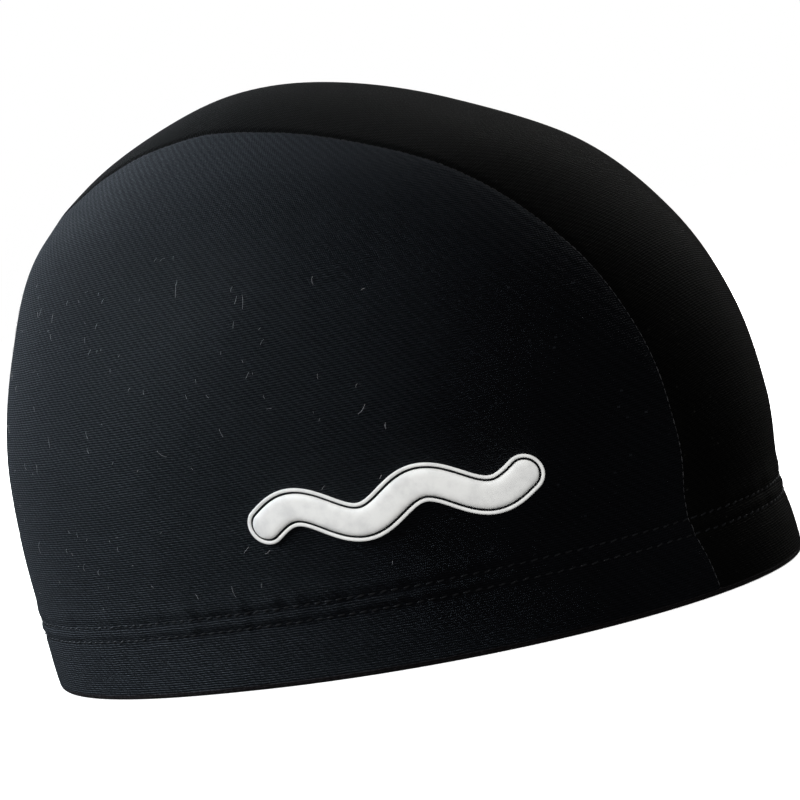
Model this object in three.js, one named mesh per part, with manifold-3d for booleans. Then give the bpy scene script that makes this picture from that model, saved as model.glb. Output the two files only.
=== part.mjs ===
// Fabric swim cap: three stretch-knit panels, a hem turned up inside the rim and a raised wave print.
// Millimetres. +X is the cap's front, +Y its wearer's left, +Z up. It stands on its rim, round as on a head.
import * as THREE from 'three';
import { mergeVertices } from 'three/addons/utils/BufferGeometryUtils.js';
import Module from 'manifold-3d';

const wasm = await Module();
wasm.setup();

// Overall size, over the outer cloth
const LENGTH = 200;
const WIDTH = 156;
const HEIGHT = 139;

// Cloth, and the gap that is left between sewn pieces
const CLOTH = 1.1;
const SEAM_GAP = 0.3;

// Hem: how far the cloth is turned up inside, and the rounding of the fold under the rim
const HEM_DEPTH = 20;
const FOLD_ROUND = 0.5;

// Crown panel: its width between the two seams over the head, above the hem in front and behind,
// where it is widest along the cap, and how much the hem draws it in at the rim
const CROWN_TOP_WIDTH = 82;
const CROWN_FRONT_WIDTH = 54;
const CROWN_BACK_WIDTH = 50;
const CROWN_MIDDLE = -0.18;
const HEM_PINCH = 4;

// Print: a waved band on the near side, with a thin line round it
const PRINT_START = 9.4;
const PRINT_LENGTH = 60;
const PRINT_MIDDLE_HEIGHT = 37.8;
const PRINT_THICKNESS = 1;
const BAND_WIDTH = 6.2;
const WAVE_HEIGHT = 6;
const WAVES = 2;
const OUTLINE_GAP = 0.5;
const OUTLINE_WIDTH = 0.8;
const OUTLINE_THICKNESS = 0.5;

// Fineness of the facets
const AROUND = 64;
const ROWS_ABOVE_HEM = 17;
const CUTTER_STATIONS = 24;
const BAND_STATIONS = 46;
const END_STATIONS = 6;
const OUTLINE_END_STATIONS = 9;
const BISECTIONS = 30;
const PRINT_WALK_STEPS = 24;
const NUDGE = 0.002;
const CUTTER_MARGIN = 10;

// Horizontal sections from the rim to the crown. Heights are shares of HEIGHT, sides of half the WIDTH,
// and the front, the widest place and the back of half the LENGTH. Square bends the back of the outline
// from an ellipse (1) towards a rectangle (0).
const SECTIONS = [
  { up: 0.0, front: 1.0, widest: -0.03, back: -0.99, side: 0.94, square: 0.84 },
  { up: 0.06, front: 0.994, widest: -0.04, back: -0.997, side: 0.945, square: 0.84 },
  { up: 0.14, front: 0.98, widest: -0.05, back: -1.0, side: 0.955, square: 0.85 },
  { up: 0.28, front: 0.992, widest: -0.07, back: -0.998, side: 0.985, square: 0.87 },
  { up: 0.45, front: 0.955, widest: -0.09, back: -0.97, side: 1.0, square: 0.9 },
  { up: 0.62, front: 0.845, widest: -0.1, back: -0.896, side: 0.955, square: 0.94 },
  { up: 0.78, front: 0.65, widest: -0.115, back: -0.798, side: 0.82, square: 0.97 },
  { up: 0.9, front: 0.345, widest: -0.13, back: -0.602, side: 0.59, square: 1.0 },
  { up: 0.975, front: 0.075, widest: -0.135, back: -0.325, side: 0.315, square: 1.0 },
  { up: 1.0, front: -0.14, widest: -0.14, back: -0.14, side: 0.0, square: 1.0 },
];

// Across the puffy band, as shares of its half width and of its thickness
const PUFF = [
  { across: -1, rise: 0 },
  { across: 1, rise: 0 },
  { across: 1, rise: 0.4 },
  { across: 0.82, rise: 0.78 },
  { across: 0.4, rise: 1 },
  { across: -0.4, rise: 1 },
  { across: -0.82, rise: 0.78 },
  { across: -1, rise: 0.4 },
];

// Across the thin line
const LINE = [
  { across: -1, rise: 0 },
  { across: 1, rise: 0 },
  { across: 1, rise: 1 },
  { across: -1, rise: 1 },
];

// Form of the head

function throughFour(a, b, c, d, f) {
  const bend = 2 * a - 5 * b + 4 * c - d;
  const twist = 3 * b - a - 3 * c + d;
  return 0.5 * (2 * b + (c - a) * f + bend * f * f + twist * f ** 3);
}

function rowBelowRim() {
  const [rim, next] = SECTIONS;
  const row = {};
  for (const column of Object.keys(rim)) {
    row[column] = 2 * rim[column] - next[column];
  }
  return row;
}

function rowPastCrown() {
  const crown = SECTIONS[SECTIONS.length - 1];
  const before = SECTIONS[SECTIONS.length - 2];
  return {
    up: before.up,
    front: 2 * crown.front - before.front,
    widest: 2 * crown.widest - before.widest,
    back: 2 * crown.back - before.back,
    side: -before.side,
    square: before.square,
  };
}

const CONTROL_ROWS = [rowBelowRim(), ...SECTIONS, rowPastCrown()];

// The section at a rise from 0, the rim, to 1, the crown
function sectionAt(rise) {
  const spans = SECTIONS.length - 1;
  const place = THREE.MathUtils.clamp(rise, 0, 1) * spans;
  const span = Math.min(Math.floor(place), spans - 1);
  const [a, b, c, d] = CONTROL_ROWS.slice(span, span + 4);
  const row = {};
  for (const column of Object.keys(a)) {
    row[column] = throughFour(a[column], b[column], c[column], d[column], place - span);
  }
  return row;
}

function bentPower(value, power) {
  return Math.sign(value) * Math.abs(value) ** power;
}

// A point of the outer cloth. The angle is 0 at the front and a quarter turn at the wearer's left.
function headPoint(rise, angle) {
  const row = sectionAt(rise);
  const ahead = Math.cos(angle);
  const power = ahead < 0 ? row.square : 1;
  const reach = ahead < 0 ? row.widest - row.back : row.front - row.widest;
  return new THREE.Vector3(
    (LENGTH / 2) * (row.widest + reach * bentPower(ahead, power)),
    (WIDTH / 2) * row.side * bentPower(Math.sin(angle), power),
    HEIGHT * row.up,
  );
}

function headNormal(rise, angle) {
  if (rise > 1 - NUDGE) {
    return new THREE.Vector3(0, 0, 1);
  }
  const along = headPoint(rise, angle + NUDGE).sub(headPoint(rise, angle - NUDGE));
  const up = headPoint(rise + NUDGE, angle).sub(headPoint(Math.max(rise - NUDGE, 0), angle));
  return along.cross(up).normalize();
}

function insetPoint(rise, angle, inset) {
  return headPoint(rise, angle).addScaledVector(headNormal(rise, angle), -inset);
}

function solve(measure, wanted, low, high) {
  let [under, over] = [low, high];
  for (let i = 0; i < BISECTIONS; i += 1) {
    const middle = (under + over) / 2;
    if (measure(middle) < wanted) {
      under = middle;
    } else {
      over = middle;
    }
  }
  return (under + over) / 2;
}

function riseAtHeight(height) {
  return solve((rise) => sectionAt(rise).up * HEIGHT, height, 0, 1);
}

// Closed meshes from rings of points

function geometryOf(points, triangles) {
  const geometry = new THREE.BufferGeometry();
  geometry.setAttribute('position', new THREE.Float32BufferAttribute(points.flatMap((p) => p.toArray()), 3));
  geometry.setIndex(triangles);
  return geometry;
}

// Joins ring after ring, each a closed loop of as many points, with the faces to the loop's outside
function skinTriangles(rings, size, closed) {
  const triangles = [];
  const spans = closed ? rings : rings - 1;
  for (let r = 0; r < spans; r += 1) {
    for (let i = 0; i < size; i += 1) {
      const next = (i + 1) % size;
      const above = ((r + 1) % rings) * size;
      const [a, b, c, d] = [r * size + i, r * size + next, above + next, above + i];
      triangles.push(a, b, c, a, c, d);
    }
  }
  return triangles;
}

function fanTriangles(ring, tip, size) {
  const triangles = [];
  for (let i = 0; i < size; i += 1) {
    triangles.push(ring + i, ring + ((i + 1) % size), tip);
  }
  return triangles;
}

function reversed(triangles) {
  return triangles.slice().reverse();
}

// Booleans

function solidOf(geometry) {
  const bare = geometry.clone();
  bare.deleteAttribute('normal');
  bare.deleteAttribute('uv');
  const merged = mergeVertices(bare, 1e-4);
  return new wasm.Manifold(new wasm.Mesh({
    numProp: 3,
    vertProperties: new Float32Array(merged.getAttribute('position').array),
    triVerts: new Uint32Array(merged.getIndex().array),
  }));
}

function geometryOfSolid(solid) {
  const mesh = solid.getMesh();
  const geometry = new THREE.BufferGeometry();
  geometry.setAttribute('position', new THREE.BufferAttribute(new Float32Array(mesh.vertProperties), 3));
  geometry.setIndex(new THREE.BufferAttribute(new Uint32Array(mesh.triVerts), 1));
  return geometry;
}

// Panels

const FOLD_TOP = CLOTH;
const PANEL_FOOT = FOLD_TOP + SEAM_GAP;
const HEM_LEVELS = [HEM_DEPTH / 3, (2 * HEM_DEPTH) / 3, HEM_DEPTH];

function shellRises() {
  const rises = [PANEL_FOOT, ...HEM_LEVELS].map(riseAtHeight);
  const aboveHem = rises[rises.length - 1];
  for (let i = 1; i < ROWS_ABOVE_HEM; i += 1) {
    rises.push(THREE.MathUtils.lerp(aboveHem, 1, i / ROWS_ABOVE_HEM));
  }
  return rises;
}

function shellSurface(rises, inset) {
  const points = [];
  for (const [row, rise] of rises.entries()) {
    for (let i = 0; i < AROUND; i += 1) {
      const point = insetPoint(rise, (2 * Math.PI * i) / AROUND, inset);
      points.push(row === 0 ? point.setZ(PANEL_FOOT) : point);
    }
  }
  points.push(insetPoint(1, 0, inset));
  return points;
}

// The whole cloth shell above the fold, before it is cut along the seams
function clothShell() {
  const rises = shellRises();
  const outer = shellSurface(rises, 0);
  const inner = shellSurface(rises, CLOTH);
  const side = [
    ...skinTriangles(rises.length, AROUND, false),
    ...fanTriangles((rises.length - 1) * AROUND, rises.length * AROUND, AROUND),
  ];
  const inside = reversed(side).map((corner) => corner + outer.length);
  const foot = [];
  for (let i = 0; i < AROUND; i += 1) {
    const next = (i + 1) % AROUND;
    foot.push(i, outer.length + i, outer.length + next, i, outer.length + next, next);
  }
  return solidOf(geometryOf([...outer, ...inner], [...side, ...inside, ...foot]));
}

// Half the crown panel's width at a place along the cap and a height above the floor
function halfCrown(along, height) {
  const share = along / (LENGTH / 2);
  const ahead = share > CROWN_MIDDLE;
  const end = ahead ? 1 : -1;
  const reach = THREE.MathUtils.clamp((share - CROWN_MIDDLE) / (end - CROWN_MIDDLE), 0, 1);
  const width = THREE.MathUtils.lerp(CROWN_TOP_WIDTH, ahead ? CROWN_FRONT_WIDTH : CROWN_BACK_WIDTH, reach ** 2);
  const pinch = HEM_PINCH * (1 - THREE.MathUtils.clamp(height / HEM_DEPTH, 0, 1));
  return (width - pinch) / 2;
}

// A curtain-sided block that holds the crown panel, wider by a growth on each side
function crownCutter(growth) {
  const levels = [-CUTTER_MARGIN, 0, HEM_DEPTH, HEIGHT + CUTTER_MARGIN];
  const spans = levels.length - 1;
  const block = new THREE.BoxGeometry(LENGTH + 2 * CUTTER_MARGIN, 2, spans, CUTTER_STATIONS, 1, spans);
  const corners = block.getAttribute('position');
  for (let i = 0; i < corners.count; i += 1) {
    const along = corners.getX(i);
    const height = levels[Math.round(corners.getZ(i) + spans / 2)];
    const half = halfCrown(along, height) + growth;
    corners.setXYZ(i, along, Math.sign(corners.getY(i)) * half, height);
  }
  return solidOf(block);
}

// A block over one whole side of the cap, -1 for the wearer's right and 1 for the left
function sideBlock(side) {
  const block = new THREE.BoxGeometry(LENGTH * 2, WIDTH, HEIGHT * 3);
  block.translate(0, (side * WIDTH) / 2, 0);
  return solidOf(block);
}

const CLOTH_SHELL = clothShell();

function crownPanel() {
  return geometryOfSolid(CLOTH_SHELL.intersect(crownCutter(-SEAM_GAP / 2)));
}

function sidePanel(side) {
  const sides = CLOTH_SHELL.subtract(crownCutter(SEAM_GAP / 2));
  return geometryOfSolid(sides.intersect(sideBlock(side)));
}

// Hem

// The hem's cross-section: a rounded fold under the panels' edge, and the layer turned up inside them
function hemSection() {
  const inside = CLOTH + SEAM_GAP;
  const through = inside + CLOTH;
  const corner = FOLD_ROUND * (1 - Math.SQRT1_2);
  return [
    { inset: 0, height: FOLD_TOP },
    { inset: 0, height: FOLD_ROUND },
    { inset: corner, height: corner },
    { inset: FOLD_ROUND, height: 0 },
    { inset: through - FOLD_ROUND, height: 0 },
    { inset: through - corner, height: corner },
    { inset: through, height: FOLD_ROUND },
    ...HEM_LEVELS.map((height) => ({ inset: through, height })),
    ...HEM_LEVELS.toReversed().map((height) => ({ inset: inside, height })),
    { inset: inside, height: FOLD_TOP },
  ];
}

function hemPoint(corner, angle) {
  if (corner.height > FOLD_TOP) {
    return insetPoint(riseAtHeight(corner.height), angle, corner.inset);
  }
  const inwards = headNormal(0, angle).setZ(0).normalize();
  return headPoint(0, angle).addScaledVector(inwards, -corner.inset).setZ(corner.height);
}

function turnedHem() {
  const section = hemSection();
  const points = [];
  for (let i = 0; i < AROUND; i += 1) {
    const angle = (2 * Math.PI * i) / AROUND;
    points.push(...section.map((corner) => hemPoint(corner, angle)));
  }
  return geometryOf(points, skinTriangles(AROUND, section.length, true));
}

// Print

// The rise and angle of a place on the near side: so far along from the print's start, at a height
function nearSidePlace(along, height) {
  const rise = riseAtHeight(height);
  const level = riseAtHeight(PRINT_MIDDLE_HEIGHT);
  const start = solve((turn) => headPoint(level, turn).x, PRINT_START, Math.PI, 2 * Math.PI);
  let angle = start;
  for (let i = 0; i < PRINT_WALK_STEPS; i += 1) {
    const speed = headPoint(level, angle + NUDGE).distanceTo(headPoint(level, angle)) / NUDGE;
    angle += along / PRINT_WALK_STEPS / speed;
  }
  return { rise, angle };
}

function printPoint(place, lift) {
  const { rise, angle } = nearSidePlace(place.x, PRINT_MIDDLE_HEIGHT + place.y);
  return insetPoint(rise, angle, -(SEAM_GAP + lift));
}

// The wave's middle line and the direction square to it, at a share of its length
function waveFrame(share) {
  const turn = 2 * Math.PI * WAVES * share;
  const slope = ((Math.PI * WAVES * WAVE_HEIGHT) / PRINT_LENGTH) * Math.cos(turn);
  return {
    at: new THREE.Vector2(PRINT_LENGTH * share, (WAVE_HEIGHT / 2) * Math.sin(turn)),
    across: new THREE.Vector2(-slope, 1).normalize(),
  };
}

// A strip of the print: a cross-section carried along frames over the cloth
function strip(frames, section, thickness, closed) {
  const points = [];
  for (const frame of frames) {
    for (const corner of section) {
      const place = frame.at.clone().addScaledVector(frame.across, corner.across * frame.half);
      points.push(printPoint(place, corner.rise * thickness));
    }
  }
  const size = section.length;
  const triangles = skinTriangles(frames.length, size, closed);
  if (!closed) {
    const last = (frames.length - 1) * size;
    for (let i = 1; i < size - 1; i += 1) {
      triangles.push(0, i + 1, i, last, last + i, last + i + 1);
    }
  }
  return geometryOf(points, triangles);
}

// The round end of the band, from its middle line's end outwards
function roundEnd(share, outwards) {
  const { at, across } = waveFrame(share);
  const ahead = new THREE.Vector2(across.y, -across.x).multiplyScalar(outwards);
  const frames = [];
  for (let i = 1; i <= END_STATIONS; i += 1) {
    const turn = ((Math.PI / 2) * i) / (END_STATIONS + 0.3);
    frames.push({
      at: at.clone().addScaledVector(ahead, (BAND_WIDTH / 2) * Math.sin(turn)),
      across,
      half: (BAND_WIDTH / 2) * Math.cos(turn),
    });
  }
  return frames;
}

function wavePrint() {
  const frames = [];
  for (let i = 0; i <= BAND_STATIONS; i += 1) {
    frames.push({ ...waveFrame(i / BAND_STATIONS), half: BAND_WIDTH / 2 });
  }
  const whole = [...roundEnd(0, -1).toReversed(), ...frames, ...roundEnd(1, 1)];
  return strip(whole, PUFF, PRINT_THICKNESS, false);
}

function outlineFrame(centre, across) {
  const offset = BAND_WIDTH / 2 + OUTLINE_GAP + OUTLINE_WIDTH / 2;
  return { at: centre.clone().addScaledVector(across, offset), across, half: OUTLINE_WIDTH / 2 };
}

function wavePrintOutline() {
  const frames = [];
  for (const side of [1, -1]) {
    for (let i = 0; i <= BAND_STATIONS; i += 1) {
      const share = side > 0 ? i / BAND_STATIONS : 1 - i / BAND_STATIONS;
      const { at, across } = waveFrame(share);
      frames.push(outlineFrame(at, across.clone().multiplyScalar(side)));
    }
    const { at, across } = waveFrame(side > 0 ? 1 : 0);
    for (let i = 1; i < OUTLINE_END_STATIONS; i += 1) {
      const turn = (-Math.PI * i) / OUTLINE_END_STATIONS;
      const turned = across.clone().multiplyScalar(side).rotateAround(new THREE.Vector2(), turn);
      frames.push(outlineFrame(at, turned));
    }
  }
  return strip(frames, LINE, OUTLINE_THICKNESS, true);
}

// Materials

function blackKnit(colour) {
  return new THREE.MeshStandardMaterial({ color: colour, roughness: 0.75, metalness: 0 });
}

function whitePuffInk() {
  return new THREE.MeshStandardMaterial({ color: 0xf2f2f0, roughness: 0.45, metalness: 0 });
}

// Assembly

const cap = new THREE.Group();

function addPiece(name, geometry, material) {
  const piece = new THREE.Mesh(geometry, material);
  piece.name = name;
  cap.add(piece);
}

addPiece('right_side_panel', sidePanel(-1), blackKnit(0x1b1e22));
addPiece('left_side_panel', sidePanel(1), blackKnit(0x1b1e22));
addPiece('crown_panel', crownPanel(), blackKnit(0x17181a));
addPiece('turned_hem', turnedHem(), blackKnit(0x191919));
addPiece('wave_print', wavePrint(), whitePuffInk());
addPiece('wave_print_outline', wavePrintOutline(), whitePuffInk());

export default cap;
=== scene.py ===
"""Fabric swim cap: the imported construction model, dressed in black stretch knit, thread and raised print."""
import logging
import math
import random
from dataclasses import dataclass, field
from enum import Enum

import bpy
import numpy as np
from mathutils import Matrix, Vector


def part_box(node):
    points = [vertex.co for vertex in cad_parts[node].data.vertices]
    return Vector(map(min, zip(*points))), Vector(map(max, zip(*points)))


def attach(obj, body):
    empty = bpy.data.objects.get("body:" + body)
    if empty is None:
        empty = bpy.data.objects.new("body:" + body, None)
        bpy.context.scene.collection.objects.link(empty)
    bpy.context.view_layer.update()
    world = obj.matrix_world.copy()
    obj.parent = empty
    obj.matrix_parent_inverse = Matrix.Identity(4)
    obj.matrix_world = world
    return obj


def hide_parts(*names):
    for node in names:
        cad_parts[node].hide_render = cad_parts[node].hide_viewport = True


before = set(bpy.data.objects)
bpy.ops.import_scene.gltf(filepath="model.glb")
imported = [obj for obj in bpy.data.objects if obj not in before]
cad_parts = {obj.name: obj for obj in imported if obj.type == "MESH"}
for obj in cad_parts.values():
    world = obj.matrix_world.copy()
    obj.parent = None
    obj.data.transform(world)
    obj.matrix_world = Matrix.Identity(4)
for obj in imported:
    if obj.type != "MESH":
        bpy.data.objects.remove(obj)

logging.basicConfig(level=logging.INFO, format="%(message)s")
log = logging.getLogger("swim_cap")

MM = 0.001
SEED = 11
FINE_STEPS = 4001
WHITE = (1.0, 1.0, 1.0, 1.0)
TINY = 1e-6


def distance_along(path: np.ndarray) -> np.ndarray:
    """Gives the distance walked along a path of points at each of them."""
    return np.concatenate([[0], np.cumsum(np.linalg.norm(np.diff(path, axis=0), axis=1))])


def pose(x: Vector, y: Vector, z: Vector, origin: Vector) -> Matrix:
    """Makes a 4x4 matrix.

    Args:
        x: Its first axis.
        y: Its second axis.
        z: Its third axis.
        origin: Its place.

    Returns:
        The matrix.
    """
    place = Matrix.Identity(4)
    for k, axis in enumerate((x, y, z, origin)):
        for i in range(3):
            place[i][k] = axis[i]
    return place


# Form of the head

# Horizontal sections from the rim to the crown, as shares of the height, of half the length
# (front, widest, back) and of half the width (side). Square bends the back of the outline.
SECTIONS = (
    # up, front, widest, back, side, square
    (0.0, 1.0, -0.03, -0.99, 0.94, 0.84),
    (0.06, 0.994, -0.04, -0.997, 0.945, 0.84),
    (0.14, 0.98, -0.05, -1.0, 0.955, 0.85),
    (0.28, 0.992, -0.07, -0.998, 0.985, 0.87),
    (0.45, 0.955, -0.09, -0.97, 1.0, 0.9),
    (0.62, 0.845, -0.1, -0.896, 0.955, 0.94),
    (0.78, 0.65, -0.115, -0.798, 0.82, 0.97),
    (0.9, 0.345, -0.13, -0.602, 0.59, 1.0),
    (0.975, 0.075, -0.135, -0.325, 0.315, 1.0),
    (1.0, -0.14, -0.14, -0.14, 0.0, 1.0),
)


@dataclass
class HeadForm:
    """The outer cloth's form, which the panels, hem, stitches and print all follow.

    Lengths are in metres. Points are arrays of shape (..., 3).
    """

    length: float
    width: float
    height: float
    fineness: int = 1600
    _rises: np.ndarray = field(init=False, repr=False)
    _rows: np.ndarray = field(init=False, repr=False)

    def __post_init__(self) -> None:
        """Works out the smooth run of sections once."""
        rows = np.array(SECTIONS)
        crown, before = rows[-1], rows[-2]
        past = 2 * crown - before
        past[0], past[4], past[5] = before[0], -before[4], before[5]
        control = np.vstack([2 * rows[0] - rows[1], rows, past])
        self._rises = np.linspace(0, 1, self.fineness)
        place = self._rises * (len(rows) - 1)
        span = np.minimum(place.astype(int), len(rows) - 2)
        f = (place - span)[:, None]
        a, b, c, d = (control[span + k] for k in range(4))
        bend, twist = 2 * a - 5 * b + 4 * c - d, 3 * b - a - 3 * c + d
        self._rows = 0.5 * (2 * b + (c - a) * f + bend * f ** 2 + twist * f ** 3)
        self._rows[:, 0] = np.maximum.accumulate(self._rows[:, 0])

    def sections(self, rise: np.ndarray) -> tuple:
        """Gives the section at each rise.

        Args:
            rise: From 0 at the rim to 1 at the crown.

        Returns:
            Arrays of up, front, widest, back, side and square.
        """
        return tuple(np.interp(rise, self._rises, self._rows[:, k]) for k in range(6))

    def rise_at(self, height: np.ndarray) -> np.ndarray:
        """Gives the rise at heights above the floor, in metres."""
        return np.interp(np.asarray(height) / self.height, self._rows[:, 0], self._rises)

    def points(self, rise: np.ndarray, angle: np.ndarray) -> np.ndarray:
        """Gives points of the outer cloth.

        Args:
            rise: From 0 at the rim to 1 at the crown.
            angle: From 0 at the front, a quarter turn at the wearer's left, in radians.

        Returns:
            Points in metres.
        """
        up, front, widest, back, side, square = self.sections(rise)
        ahead, aside = np.cos(angle), np.sin(angle)
        power = np.where(ahead < 0, square, 1.0)
        reach = np.where(ahead < 0, widest - back, front - widest)
        x = widest + reach * np.sign(ahead) * np.abs(ahead) ** power
        y = side * np.sign(aside) * np.abs(aside) ** power
        return np.stack([x * self.length / 2, y * self.width / 2, up * self.height + 0 * x], axis=-1)

    def inside(self, points: np.ndarray) -> np.ndarray:
        """Says how far out points lie.

        Args:
            points: Points in metres.

        Returns:
            Under 1 inside the form, 1 on the cloth and over 1 outside it.
        """
        height = points[..., 2]
        _, front, widest, back, side, square = self.sections(self.rise_at(np.clip(height, 0, self.height)))
        x = points[..., 0] / (self.length / 2) - widest
        power = np.where(x < 0, square, 1.0)
        reach = np.maximum(np.where(x < 0, widest - back, front - widest), TINY)
        y = points[..., 1] / (self.width / 2) / np.maximum(side, TINY)
        share = np.abs(x / reach) ** (2 / power) + np.abs(y) ** (2 / power)
        return np.where(height > self.height, 2.0, share ** (power / 2))

    def normals(self, points: np.ndarray) -> np.ndarray:
        """Gives the outward direction at points of the cloth.

        Args:
            points: Points of the cloth, in metres.

        Returns:
            Unit directions of the same shape.
        """
        step = 0.3 * MM
        slope = np.stack([
            self.inside(points + step * axis) - self.inside(points - step * axis) for axis in np.eye(3)
        ], axis=-1)
        crown = points[..., 2] > self.height - 2 * step
        slope[crown] = (0.0, 0.0, 1.0)
        return slope / np.linalg.norm(slope, axis=-1, keepdims=True)

    def along_rays(self, centre: np.ndarray, directions: np.ndarray) -> np.ndarray:
        """Finds where rays from a point inside meet the cloth.

        Args:
            centre: The point that all rays leave.
            directions: Unit directions, shape (..., 3).

        Returns:
            The points of the cloth.
        """
        near = np.zeros(directions.shape[:-1])
        far = np.full(directions.shape[:-1], self.length)
        for _ in range(34):
            middle = (near + far) / 2
            within = self.inside(centre + directions * middle[..., None]) < 1
            near, far = np.where(within, middle, near), np.where(within, far, middle)
        return centre + directions * near[..., None]

    def ring(self, height: float, count: int) -> np.ndarray:
        """Gives points evenly spaced round the cloth at one height.

        Args:
            height: Above the floor, in metres.
            count: The number of points.

        Returns:
            Points, from the front round to a step before it.
        """
        angles = np.linspace(0, 2 * math.pi, FINE_STEPS)
        path = self.points(np.full(angles.shape, self.rise_at(height)), angles)
        walked = distance_along(path)
        wanted = np.linspace(0, walked[-1], count, endpoint=False)
        return np.stack([np.interp(wanted, walked, path[:, k]) for k in range(3)], axis=-1)


# Sewing plan

@dataclass
class Pattern:
    """How the cap is cut and sewn: the seams' places, the hem and the stitches. Lengths are in metres."""

    form: HeadForm
    cloth: float = 1.1 * MM
    crown_top_width: float = 82 * MM
    crown_front_width: float = 54 * MM
    crown_back_width: float = 50 * MM
    crown_middle: float = -0.18
    hem_depth: float = 20 * MM
    hem_pinch: float = 4 * MM
    stitch_rows: tuple = (18.4 * MM, 14.7 * MM)
    panel_foot: float = 1.4 * MM
    centre_x: float = -4 * MM
    seam_dip: float = 0.42 * MM
    seam_roll: float = 0.8 * MM
    stitch_dip: float = 0.3 * MM
    stitch_roll: float = 0.7 * MM
    hem_puff: float = 0.22 * MM
    pucker: float = 0.09 * MM
    unevenness: float = 0.16 * MM

    def half_crown(self, points: np.ndarray) -> np.ndarray:
        """Gives half the crown panel's width.

        Args:
            points: Points of the cloth.

        Returns:
            The half width at each, in metres.
        """
        share = points[..., 0] / (self.form.length / 2)
        ahead = share > self.crown_middle
        end = np.where(ahead, 1.0, -1.0)
        reach = np.clip((share - self.crown_middle) / (end - self.crown_middle), 0, 1)
        last = np.where(ahead, self.crown_front_width, self.crown_back_width)
        width = self.crown_top_width + (last - self.crown_top_width) * reach ** 2
        pinch = self.hem_pinch * (1 - np.clip(points[..., 2] / self.hem_depth, 0, 1))
        return (width - pinch) / 2

    def relief(self, points: np.ndarray) -> np.ndarray:
        """Says how far the sewn cloth stands out from the smooth form.

        Args:
            points: Points of the smooth form.

        Returns:
            Heights over the form, in metres.
        """
        height = points[..., 2]
        from_seam = np.abs(np.abs(points[..., 1]) - self.half_crown(points))
        out = -self.seam_dip * np.exp(-((from_seam / self.seam_roll) ** 2))
        high, low = self.stitch_rows
        for row in (low, high):
            out -= self.stitch_dip * np.exp(-(((height - row) / self.stitch_roll) ** 2))
        out += self.hem_puff * np.exp(-(((height - (low + high) / 2) / (1.1 * MM)) ** 2))
        out += self.hem_puff * np.exp(-(((height - high - 2.6 * MM) / (1.8 * MM)) ** 2))
        turn = np.arctan2(points[..., 1], points[..., 0])
        ripple = np.sin(61 * turn) + 0.6 * np.sin(97 * turn + 1.3) + 0.5 * np.sin(37 * turn + 0.4)
        near_hem = np.exp(-(((height - high) / (5 * MM)) ** 2))
        out += self.pucker * ripple * near_hem
        along = points[..., 0] + points[..., 2]
        gather = np.sin(along / (3.1 * MM)) + 0.7 * np.sin(along / (4.7 * MM) + 0.8)
        out += self.pucker * gather * np.exp(-((from_seam / (3.5 * MM)) ** 2)) * (1 - near_hem)
        slow = np.sin(points[..., 0] / 0.021 + 1.1) * np.sin(points[..., 2] / 0.017 + 0.6)
        slow += 0.7 * np.sin(points[..., 0] / 0.013 - points[..., 2] / 0.019)
        foot = np.clip((height - self.panel_foot) / (8 * MM), 0, 1)
        return out + self.unevenness * slow * foot

    def sewn(self, points: np.ndarray, lift: float | np.ndarray = 0.0) -> np.ndarray:
        """Moves points of the smooth form onto the sewn cloth, or a little over it.

        Args:
            points: Points of the smooth form.
            lift: Heights over the sewn cloth, in metres.

        Returns:
            The points moved.
        """
        return self.form.normals(points) * (self.relief(points) + lift)[..., None] + points

    @property
    def centre(self) -> np.ndarray:
        """The point under the crown that the panels are laid out from."""
        return np.array([self.centre_x, 0.0, self.panel_foot])

    def over(self, turn: np.ndarray, tilt: np.ndarray) -> np.ndarray:
        """Gives the cloth's points in directions from under the crown.

        Args:
            turn: From 0 at the front rim over the top to pi at the back rim.
            tilt: From 0 in the middle to a quarter turn at the wearer's left, negative to the right.

        Returns:
            Points of the cloth.
        """
        turn, tilt = np.broadcast_arrays(turn, tilt)
        level = np.cos(tilt)
        directions = np.stack([level * np.cos(turn), np.sin(tilt), level * np.sin(turn)], axis=-1)
        return self.form.along_rays(self.centre, directions)

    def seam_tilt(self, turn: np.ndarray) -> np.ndarray:
        """Finds where the left seam lies.

        Args:
            turn: Turns from 0 at the front rim to pi at the back rim.

        Returns:
            The seam's tilt at each turn.
        """
        low, high = np.zeros(turn.shape), np.full(turn.shape, math.pi / 2)
        for _ in range(30):
            middle = (low + high) / 2
            points = self.over(turn, middle)
            within = points[..., 1] < self.half_crown(points)
            low, high = np.where(within, middle, low), np.where(within, high, middle)
        return (low + high) / 2


# Meshes

def select_only(piece: bpy.types.Object) -> None:
    """Leaves one object selected and active."""
    bpy.ops.object.select_all(action="DESELECT")
    piece.select_set(True)
    bpy.context.view_layer.objects.active = piece


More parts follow.
